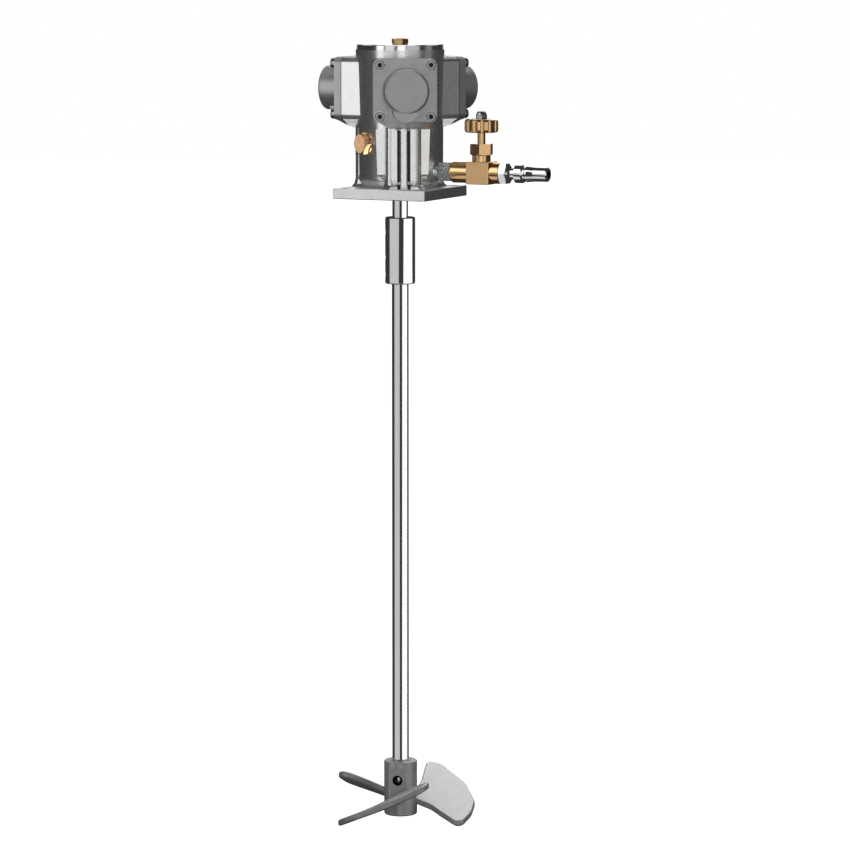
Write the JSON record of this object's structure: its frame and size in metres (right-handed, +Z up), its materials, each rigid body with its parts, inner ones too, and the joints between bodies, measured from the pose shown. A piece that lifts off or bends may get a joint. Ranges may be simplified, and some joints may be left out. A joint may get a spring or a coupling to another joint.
{
  "type": "tank agitator",
  "caption": "Air-driven tank agitator: radial piston air motor on a square plate with a needle valve, a long stirring shaft and a marine propeller.",
  "frame": {"origin": "centre of the base plate's underside, on the shaft axis, where the plate rests on a tank lid or bracket", "axes": "+Z up the shaft axis towards the motor; +X out along the air inlet; the plate's sides lie along X and Y"},
  "size_m": [0.23, 0.1528, 0.7534],
  "materials": {
    "plate_steel": "brushed flat, clear",
    "screw_steel": "turned, zinc clear",
    "seal_rubber": "moulded, matt",
    "cast_aluminium": "sand cast, shot blasted",
    "bearing_steel": "ground",
    "bronze": "sintered or turned bronze",
    "shaft_steel": "ground stainless, near mirror",
    "polished_steel": "turned bright",
    "brass": "machined, bare",
    "zinc_steel": "bright zinc plate",
    "chromed_steel": "nickel plate",
    "black_steel": "black oxide",
    "cast_steel": "precision cast stainless, bead blasted",
    "gasket_paper": "oiled paper",
    "piston_aluminium": "turned"
  },
  "bodies": {
    "motor": {"base_plate": "plate_steel", "base_plate_screws": "screw_steel", "shaft_seal": "seal_rubber", "crankcase": "cast_aluminium", "lower_bearing_outer_ring": "bearing_steel", "upper_bearing_outer_ring": "bearing_steel", "valve_liner": "bronze", "top_cover": "polished_steel", "top_cover_screws": "screw_steel", "vent_plug": "brass", "oil_plug": "brass", "oil_plug_washer": "brass", "exhaust_silencer": "bronze", "inlet_nipple": "zinc_steel", "needle_valve_body": "brass", "gland_nut": "brass", "quick_plug": "chromed_steel", "cylinder_liner_front": "bearing_steel", "head_gasket_front": "gasket_paper", "head_cover_front": "cast_aluminium", "head_washers_front": "zinc_steel", "head_screws_front": "zinc_steel", "cylinder_liner_right": "bearing_steel", "head_gasket_right": "gasket_paper", "head_cover_right": "cast_aluminium", "head_washers_right": "zinc_steel", "head_screws_right": "zinc_steel", "cylinder_liner_left": "bearing_steel", "head_gasket_left": "gasket_paper", "head_cover_left": "cast_aluminium", "head_washers_left": "zinc_steel", "head_screws_left": "zinc_steel"},
    "rotor": {"crankshaft": "shaft_steel", "lower_bearing_inner_ring": "bearing_steel", "upper_bearing_inner_ring": "bearing_steel", "rotary_valve": "bearing_steel", "coupling": "shaft_steel", "coupling_set_screws": "black_steel", "agitator_shaft": "shaft_steel", "propeller": "cast_steel", "propeller_set_screw": "black_steel"},
    "ball_sets": {"lower_bearing_balls": "bearing_steel", "upper_bearing_balls": "bearing_steel"},
    "valve_stem": {"valve_stem": "brass"},
    "handwheel": {"handwheel": "brass", "handwheel_nut": "zinc_steel"},
    "piston_front": {"piston_front": "piston_aluminium", "piston_ring_front": "bearing_steel", "wrist_pin_front": "bearing_steel"},
    "piston_right": {"piston_right": "piston_aluminium", "piston_ring_right": "bearing_steel", "wrist_pin_right": "bearing_steel"},
    "piston_left": {"piston_left": "piston_aluminium", "piston_ring_left": "bearing_steel", "wrist_pin_left": "bearing_steel"}
  },
  "joints": [
    {"name": "shaft_spin", "type": "hinge", "parent": "motor", "child": "rotor", "pos_m": [0, 0, 0], "axis": [0, 0, 1], "continuous": true},
    {"name": "ball_orbit", "type": "hinge", "parent": "motor", "child": "ball_sets", "pos_m": [0, 0, 0.0145], "axis": [0, 0, 1], "continuous": true},
    {"name": "stem_rise", "type": "slide", "parent": "motor", "child": "valve_stem", "axis": [0, 0, 1], "range_m": [-0.0031, 0.0021]},
    {"name": "handwheel_turn", "type": "hinge", "parent": "valve_stem", "child": "handwheel", "pos_m": [0.0844, 0, 0.0695], "axis": [0, 0, 1], "range_deg": [-1080, 720]},
    {"name": "piston_front_slide", "type": "slide", "parent": "motor", "child": "piston_front", "axis": [0.5, -0.866, 0], "range_m": [-0.016, 0]},
    {"name": "piston_right_slide", "type": "slide", "parent": "motor", "child": "piston_right", "axis": [0.5, 0.866, 0], "range_m": [-0.00333, 0.01267]},
    {"name": "piston_left_slide", "type": "slide", "parent": "motor", "child": "piston_left", "axis": [-1, 0, 0], "range_m": [-0.00333, 0.01267]}
  ],
  "couplings": [
    {"joint": "ball_orbit", "follows": "shaft_spin", "ratio": 0.3987},
    {"joint": "stem_rise", "follows": "handwheel_turn", "m_per_rad": 0.00015915}
  ]
}
